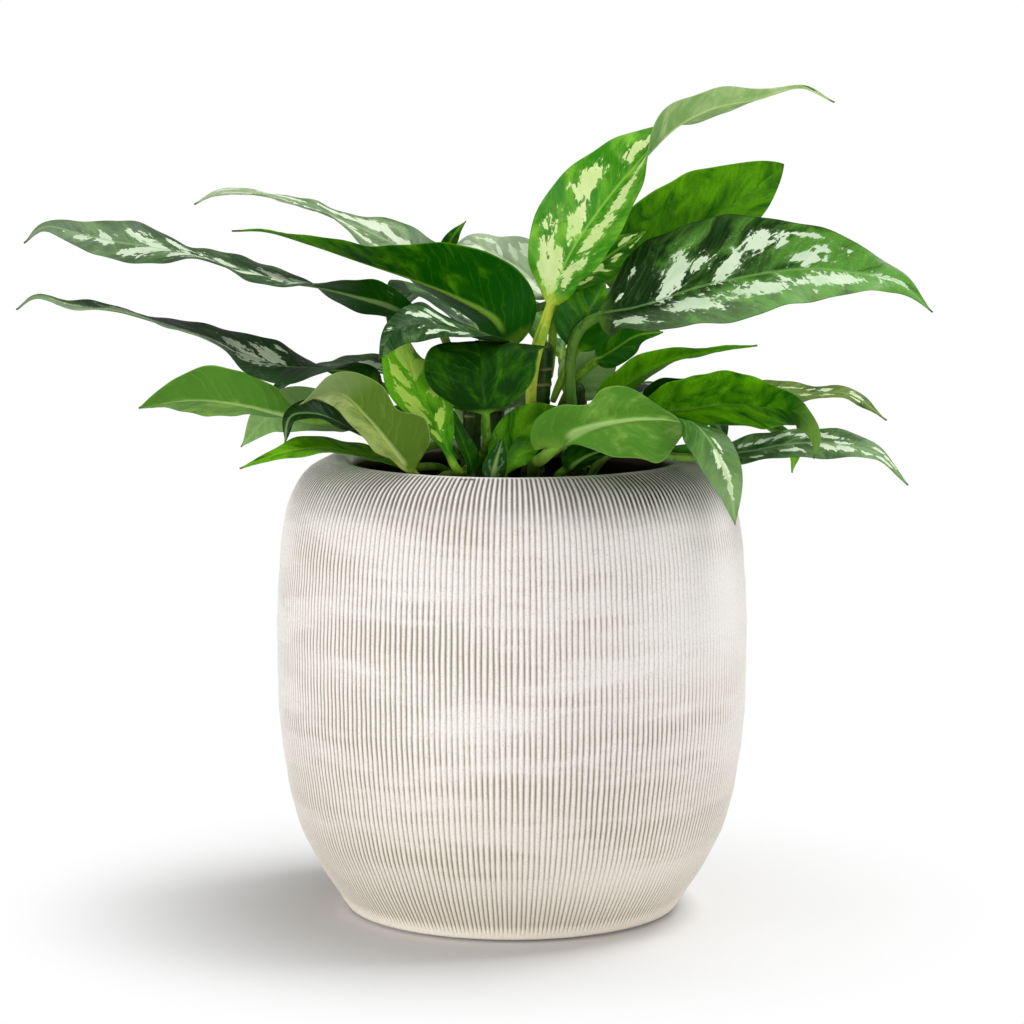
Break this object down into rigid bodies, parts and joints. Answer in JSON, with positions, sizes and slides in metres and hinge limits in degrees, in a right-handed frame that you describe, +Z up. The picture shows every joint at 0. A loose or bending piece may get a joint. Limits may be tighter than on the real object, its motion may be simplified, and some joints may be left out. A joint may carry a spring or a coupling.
{
  "type": "potted chinese evergreen",
  "caption": "Leafy houseplant with long variegated leaves on short canes, growing in soil in a round ribbed ceramic pot.",
  "frame": {"origin": "centre of the pot's flat foot, on the surface it stands on", "axes": "+Z up, -Y towards the front of the plant, +X to the right seen from the front, along the widest spread of the leaves"},
  "size_m": [0.412, 0.2461, 0.3863],
  "materials": {
    "pot": "matte off-white, finely ribbed",
    "soil": "dark crumbly potting mix",
    "cane": "green-brown ringed plant stem",
    "leaf": "satin green leaf with pale variegation"
  },
  "bodies": {
    "root": {"pot": "pot", "soil": "soil", "cane_a": "cane", "cane_b": "cane", "cane_c": "cane", "cane_d": "cane", "cane_e": "cane", "leaf_01": "leaf", "leaf_02": "leaf", "leaf_03": "leaf", "leaf_04": "leaf", "leaf_05": "leaf", "leaf_06": "leaf", "leaf_07": "leaf", "leaf_08": "leaf", "leaf_09": "leaf", "leaf_10": "leaf", "leaf_11": "leaf", "leaf_12": "leaf", "leaf_13": "leaf", "leaf_14": "leaf", "leaf_15": "leaf", "leaf_16": "leaf", "leaf_17": "leaf", "leaf_18": "leaf", "leaf_19": "leaf", "leaf_20": "leaf", "leaf_21": "leaf", "leaf_22": "leaf", "leaf_23": "leaf", "leaf_24": "leaf", "leaf_25": "leaf", "leaf_26": "leaf", "leaf_27": "leaf", "leaf_28": "leaf", "leaf_29": "leaf", "leaf_30": "leaf", "leaf_31": "leaf", "leaf_32": "leaf", "leaf_33": "leaf", "leaf_34": "leaf", "leaf_35": "leaf", "leaf_36": "leaf", "leaf_37": "leaf", "leaf_38": "leaf", "leaf_39": "leaf"}
  },
  "joints": []
}
